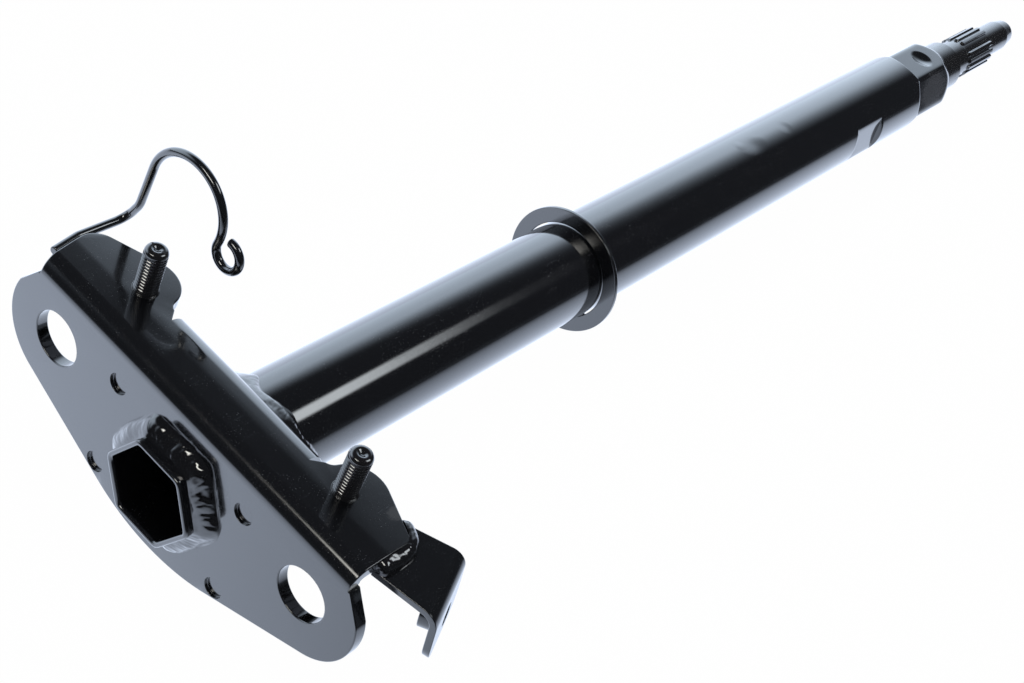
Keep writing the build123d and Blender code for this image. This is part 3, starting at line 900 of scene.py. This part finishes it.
# Saddle weld
# The bead where the plate's lip straddles the tube, laid from both sides up to the top. The
# two runs are heaviest near the top, where they meet.
flange_top = 34.5
lip_bend_x, lip_bend_radius = 18.8, 8.0
lip_slope = radians(55)
lip_corner_x = lip_bend_x + lip_bend_radius * tan(lip_slope / 2)
over_tube = np.radians(np.linspace(13, 167, 240))
degrees_round = np.degrees(over_tube)


def lip_line(radius, shift):
    """Line on the lip's outer face this far from the tube's axis, moved along X by shift."""
    height_z = radius * np.sin(over_tube)
    face_x = lip_corner_x + (flange_top - height_z) / tan(lip_slope)
    return np.stack((face_x + shift, radius * np.cos(over_tube), height_z), axis=1)


# How heavy the bead is: each run has a bump, at an angle round X and this many degrees wide.
heavy = np.exp(-(((degrees_round - 60) / 11) ** 2)) + 0.8 * np.exp(-(((degrees_round - 112) / 16) ** 2))
saddle = bead(
    "saddle_weld_laid",
    first_toe=lip_line(tube_radius - 0.1, 3.4 + 3.2 * heavy),
    second_toe=lip_line(tube_radius + 3.2 + 1.0 * heavy, -0.1),
    root=lip_line(tube_radius - 0.4, -0.6),
    bulge=0.9,
)
shaped(saddle, ripple, weld_coat, sharp=70.0)
finish_piece(saddle, "saddle_weld")


# Clinch studs
# M8 studs pressed through the flange from below, with rolled threads and a rounded tip with
# the small centre mark that the heading tool leaves.
stud_coat = coat_material("stud_coat", bare_black, rough=0.14, peel=0.6, dust=0.1, scratch=0.1)
flange_under, stud_top = 30.0, 52.0
stud_radius = 4.0

# The thread tree: a round-bottomed groove that winds up the shank and fades out at both ends.
wires = start_tree(
    "thread",
    Pitch=1.25 * MM,
    Depth=0.46 * MM,
    Start=34.9 * MM,
    End=50.4 * MM,
    Fade=0.8 * MM,
    Core=2.5 * MM,
    Shank=4.05 * MM,
)
spot = wires["Mesh"].node("GeometryNodeInputPosition")
x, y, z = spot.axes()
own = (y * y + z * z) ** 0.5
phase = x / wires["Pitch"] - z.math("ARCTAN2", z, y) / (2 * pi)
thread_cut = 0.5 - phase.math("COSINE", phase * (2 * pi)) * 0.5
where = x.ramp(wires["Start"], wires["Start"] + wires["Fade"])
where = where * x.ramp(wires["End"] - wires["Fade"], wires["End"], 1.0, 0.0)
cut = thread_cut * where * wires["Depth"] * (own < wires["Shank"]) * (own > wires["Core"])
squeeze = (own - cut) / own.math("MAXIMUM", own, 1e-6)
place = x.node("ShaderNodeCombineXYZ", None, {0: x, 1: y * squeeze, 2: z * squeeze})
thread = end_tree(wires, {"Position": place})


def rounded(outline, radius, steps):
    """An outline with every inner corner replaced by a small arc."""
    points = [outline[0]]
    for before, corner, after in zip(outline, outline[1:], outline[2:]):
        before, corner, after = np.array(before), np.array(corner), np.array(after)
        reach = min(radius, 0.45 * np.linalg.norm(before - corner), 0.45 * np.linalg.norm(after - corner))
        start = corner + (before - corner) / np.linalg.norm(before - corner) * reach
        stop = corner + (after - corner) / np.linalg.norm(after - corner) * reach
        for k in range(steps + 1):
            t = k / steps
            points.append(tuple(start * (1 - t) ** 2 + corner * 2 * t * (1 - t) + stop * t**2))
    return points + [outline[-1]]


stud_outline = [
    (flange_under - 4.0, 0.0),
    (flange_under - 4.0, 7.5),
    (flange_under, 7.5),
    (flange_under, 4.5),
    (flange_top, 4.5),
    (flange_top, stud_radius),
    (stud_top - 1.6, stud_radius),
    (stud_top - 0.5, 3.5),
    (stud_top, 2.6),
    (stud_top, 1.7),
    (stud_top - 0.7, 0.6),
    (stud_top - 0.8, 0.0),
]
soft = rounded(stud_outline, 0.5, steps=4)
row_gap = 0.09
rows = []
for (x0, r0), (x1, r1) in zip(soft, soft[1:]):
    on_shank = abs(r0 - stud_radius) + abs(r1 - stud_radius) < 0.01
    count = max(1, round(abs(x1 - x0) / row_gap)) if on_shank else 1
    rows += [(x0 + (x1 - x0) * k / count, r0 + (r1 - r0) * k / count) for k in range(count)]
rows.append(soft[-1])
for node, side in (("stud_left", 1), ("stud_right", -1)):
    stud = lathed(node + "_rolled", rows, turns=72)
    shaped(stud, thread, stud_coat, sharp=50.0)
    # Standing it up swaps two axes. That mirrors the mesh, so its faces are flipped back, and
    # the thread comes out left-handed.
    place = (stud_x * MM, side * stud_y * MM)
    stud.data.transform(Matrix(((0, 0, 1, place[0]), (0, 1, 0, place[1]), (1, 0, 0, 0), (0, 0, 0, 1))))
    stud.data.flip_normals()
    finish_piece(stud, node)


# Stop ring
# A flat steel washer, slid over the tube with a little play and held by three weld tacks on its
# far face. It stops the bearing on the post.
eased("stop_ring_turned", "stop_ring", 0.35, black_coat)

tack_toes = ((204.7, 22.6), (208.4, 19.0), (204.6, 18.8))
tacks = []
for middle in (230, 290, 350):
    round_tack = np.radians(np.linspace(middle - 15, middle + 15, 60))
    tacks.append(bead("tack", *(ring_line(round_tack, x, r) for x, r in tack_toes), bulge=0.5, blunt=2.0))
joined = bmesh.new()
for tack in tacks:
    joined.from_mesh(tack.data)
    bpy.data.objects.remove(tack)
tack_mesh = bpy.data.meshes.new("ring_weld_laid")
joined.to_mesh(tack_mesh)
joined.free()
ring_tacks = bpy.data.objects.new("ring_weld_laid", tack_mesh)
scene.collection.objects.link(ring_tacks)
shaped(ring_tacks, ripple, weld_coat, sharp=70.0)
finish_piece(ring_tacks, "ring_weld")


# Cable guide
# Round steel wire bent cold: along the flange's end, up, and round into an open loop with a
# small eye. One short bead holds it on the flange's end face.
eased("cable_guide_bent", "cable_guide", 0.5, black_coat)

guide_slope = radians(10.6)
guide_weld_length = 11.8
wire_start = np.array((6.0, 73.68, 32.3))
wire_heading = np.array((cos(guide_slope), sin(guide_slope), 0.0))
along_wire = wire_start + np.linspace(0, guide_weld_length, 90)[:, None] * wire_heading
guide_bead = bead(
    "guide_weld_laid",
    first_toe=along_wire + (0, 1.0, -1.0),
    second_toe=along_wire + (0, -1.55, -3.9),
    root=along_wire + (0, -1.3, -0.8),
    bulge=1.0,
    blunt=2.5,
)
shaped(guide_bead, ripple, weld_coat, sharp=70.0)
finish_piece(guide_bead, "guide_weld")


# Side tab
# Thin steel sheet lapped under the flange and bent down past it, with a round weld nut on its
# inner face. A bead follows the flange's slanted edge and holds it.
eased("side_tab_bent", "side_tab", 0.35, black_coat)
eased("tab_nut_pressed", "tab_nut", 0.4, black_coat)

# The flange's slanted edge in x and y, then evenly spaced points on it and the way out from each.
flange_edge = np.array(rounded([(29.1, -62.4), (25.2, -71.0), (10.5, -71.0)], 5.1, steps=14))
gone = np.concatenate(([0.0], np.cumsum(np.linalg.norm(np.diff(flange_edge, axis=0), axis=1))))
places = np.linspace(0, gone[-1], 170)
tab_path = np.stack([np.interp(places, gone, flange_edge[:, k]) for k in (0, 1)], axis=1)
headings = np.gradient(tab_path, axis=0)
headings /= np.linalg.norm(headings, axis=1)[:, None]
outward = np.stack((-headings[:, 1], headings[:, 0]), axis=1)


def tab_line(out, height_z):
    """Line that follows the flange's edge this far out from it, at one height."""
    return np.column_stack((tab_path + outward * out, np.full(len(tab_path), height_z)))


tab_bead = bead(
    "tab_weld_laid",
    first_toe=tab_line(0.1, flange_top - 0.4),
    second_toe=tab_line(4.2, flange_under + 0.05),
    root=tab_line(-0.3, flange_under - 0.2),
    bulge=1.1,
)
shaped(tab_bead, ripple, weld_coat, sharp=70.0)
finish_piece(tab_bead, "tab_weld")
